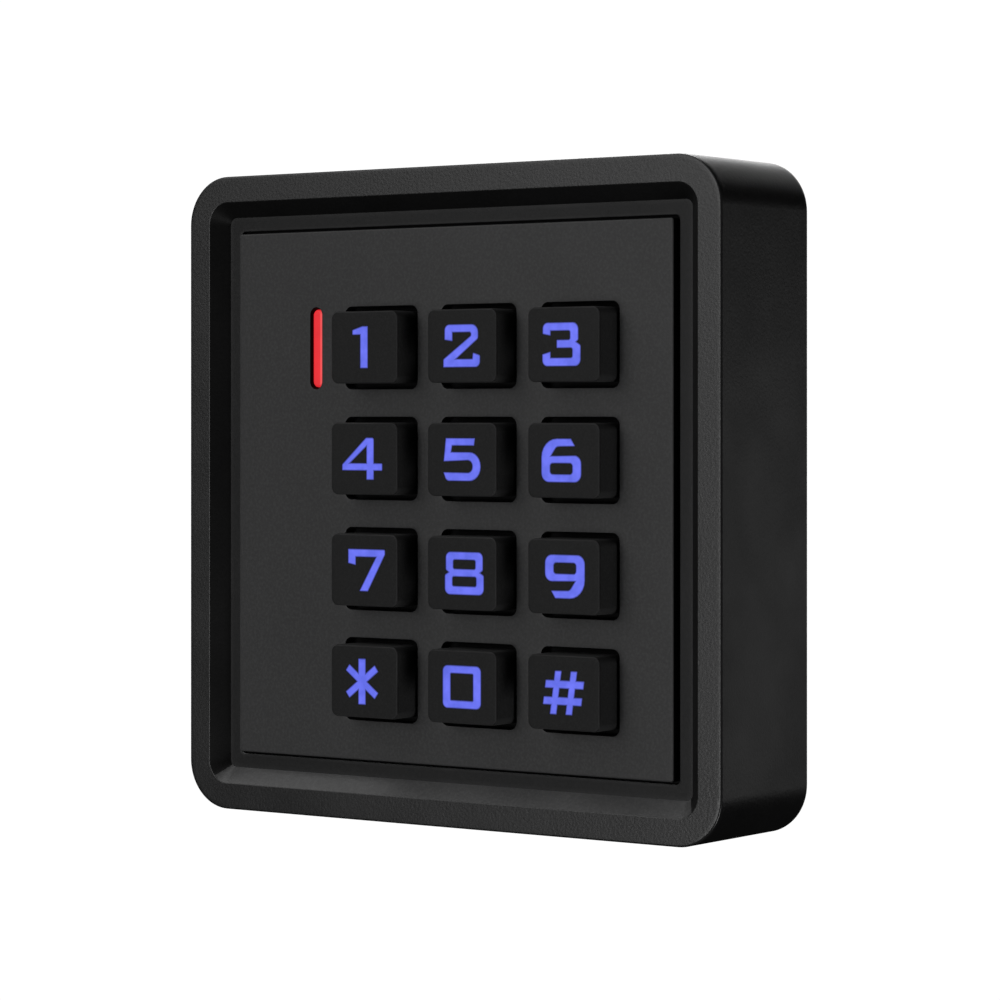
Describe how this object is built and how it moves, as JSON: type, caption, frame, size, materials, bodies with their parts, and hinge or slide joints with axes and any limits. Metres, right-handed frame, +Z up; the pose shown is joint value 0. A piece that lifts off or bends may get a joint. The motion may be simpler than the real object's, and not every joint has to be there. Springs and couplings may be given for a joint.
{
  "type": "keypad access reader",
  "caption": "Square wall-mounted keypad access reader with a rimmed box, a raised face plate, backlit push keys, a red status light bar and a rear wall plate.",
  "frame": {"origin": "centre of the wall plate's flat back face, on the wall", "axes": "-Y out of the wall towards the user, +X to the right as seen from the front, +Z up"},
  "size_m": [0.086, 0.0231, 0.086],
  "materials": {
    "housing": "dark grey fine spark-eroded texture",
    "face_plate": "dark grey matte, slightly smoother than the housing",
    "keycap": "near-black satin",
    "legend": "translucent, lit blue-violet from behind",
    "red_lens": "translucent red, lit",
    "silicone": "translucent grey silicone",
    "carbon": "matte conductive black",
    "board": "green solder mask",
    "led": "white package",
    "copper": "enamelled copper winding",
    "black_plastic": "black moulded",
    "socket_plastic": "natural nylon",
    "foam": "closed-cell foam",
    "steel": "zinc plated"
  },
  "bodies": {
    "reader_body": {"front_housing": "housing", "face_plate": "face_plate", "light_bar": "red_lens", "key_mat": "silicone", "circuit_board": "board", "status_led_1": "led", "status_led_2": "led", "backlight_led_1": "led", "backlight_led_2": "led", "backlight_led_3": "led", "backlight_led_4": "led", "antenna_coil": "copper", "buzzer": "black_plastic", "controller_chip": "black_plastic", "wire_connector": "socket_plastic", "cover_gasket": "foam", "back_cover": "black_plastic", "cover_screw_1": "steel", "cover_screw_2": "steel", "cover_screw_3": "steel", "cover_screw_4": "steel", "wall_plate": "black_plastic", "security_screw": "steel"},
    "key_1_body": {"key_1": "keycap", "legend_1": "legend", "contact_pill_1": "carbon"},
    "key_2_body": {"key_2": "keycap", "legend_2": "legend", "contact_pill_2": "carbon"},
    "key_3_body": {"key_3": "keycap", "legend_3": "legend", "contact_pill_3": "carbon"},
    "key_4_body": {"key_4": "keycap", "legend_4": "legend", "contact_pill_4": "carbon"},
    "key_5_body": {"key_5": "keycap", "legend_5": "legend", "contact_pill_5": "carbon"},
    "key_6_body": {"key_6": "keycap", "legend_6": "legend", "contact_pill_6": "carbon"},
    "key_7_body": {"key_7": "keycap", "legend_7": "legend", "contact_pill_7": "carbon"},
    "key_8_body": {"key_8": "keycap", "legend_8": "legend", "contact_pill_8": "carbon"},
    "key_9_body": {"key_9": "keycap", "legend_9": "legend", "contact_pill_9": "carbon"},
    "key_star_body": {"key_star": "keycap", "legend_star": "legend", "contact_pill_star": "carbon"},
    "key_0_body": {"key_0": "keycap", "legend_0": "legend", "contact_pill_0": "carbon"},
    "key_hash_body": {"key_hash": "keycap", "legend_hash": "legend", "contact_pill_hash": "carbon"}
  },
  "joints": [
    {"name": "press_key_1", "type": "slide", "parent": "reader_body", "child": "key_1_body", "axis": [0, 1, 0], "range_m": [0, 0.0012], "stiffness_N_per_m": 1000, "springref_m": -0.0005, "deforming": ["key_mat"]},
    {"name": "press_key_2", "type": "slide", "parent": "reader_body", "child": "key_2_body", "axis": [0, 1, 0], "range_m": [0, 0.0012], "stiffness_N_per_m": 1000, "springref_m": -0.0005, "deforming": ["key_mat"]},
    {"name": "press_key_3", "type": "slide", "parent": "reader_body", "child": "key_3_body", "axis": [0, 1, 0], "range_m": [0, 0.0012], "stiffness_N_per_m": 1000, "springref_m": -0.0005, "deforming": ["key_mat"]},
    {"name": "press_key_4", "type": "slide", "parent": "reader_body", "child": "key_4_body", "axis": [0, 1, 0], "range_m": [0, 0.0012], "stiffness_N_per_m": 1000, "springref_m": -0.0005, "deforming": ["key_mat"]},
    {"name": "press_key_5", "type": "slide", "parent": "reader_body", "child": "key_5_body", "axis": [0, 1, 0], "range_m": [0, 0.0012], "stiffness_N_per_m": 1000, "springref_m": -0.0005, "deforming": ["key_mat"]},
    {"name": "press_key_6", "type": "slide", "parent": "reader_body", "child": "key_6_body", "axis": [0, 1, 0], "range_m": [0, 0.0012], "stiffness_N_per_m": 1000, "springref_m": -0.0005, "deforming": ["key_mat"]},
    {"name": "press_key_7", "type": "slide", "parent": "reader_body", "child": "key_7_body", "axis": [0, 1, 0], "range_m": [0, 0.0012], "stiffness_N_per_m": 1000, "springref_m": -0.0005, "deforming": ["key_mat"]},
    {"name": "press_key_8", "type": "slide", "parent": "reader_body", "child": "key_8_body", "axis": [0, 1, 0], "range_m": [0, 0.0012], "stiffness_N_per_m": 1000, "springref_m": -0.0005, "deforming": ["key_mat"]},
    {"name": "press_key_9", "type": "slide", "parent": "reader_body", "child": "key_9_body", "axis": [0, 1, 0], "range_m": [0, 0.0012], "stiffness_N_per_m": 1000, "springref_m": -0.0005, "deforming": ["key_mat"]},
    {"name": "press_key_star", "type": "slide", "parent": "reader_body", "child": "key_star_body", "axis": [0, 1, 0], "range_m": [0, 0.0012], "stiffness_N_per_m": 1000, "springref_m": -0.0005, "deforming": ["key_mat"]},
    {"name": "press_key_0", "type": "slide", "parent": "reader_body", "child": "key_0_body", "axis": [0, 1, 0], "range_m": [0, 0.0012], "stiffness_N_per_m": 1000, "springref_m": -0.0005, "deforming": ["key_mat"]},
    {"name": "press_key_hash", "type": "slide", "parent": "reader_body", "child": "key_hash_body", "axis": [0, 1, 0], "range_m": [0, 0.0012], "stiffness_N_per_m": 1000, "springref_m": -0.0005, "deforming": ["key_mat"]}
  ]
}
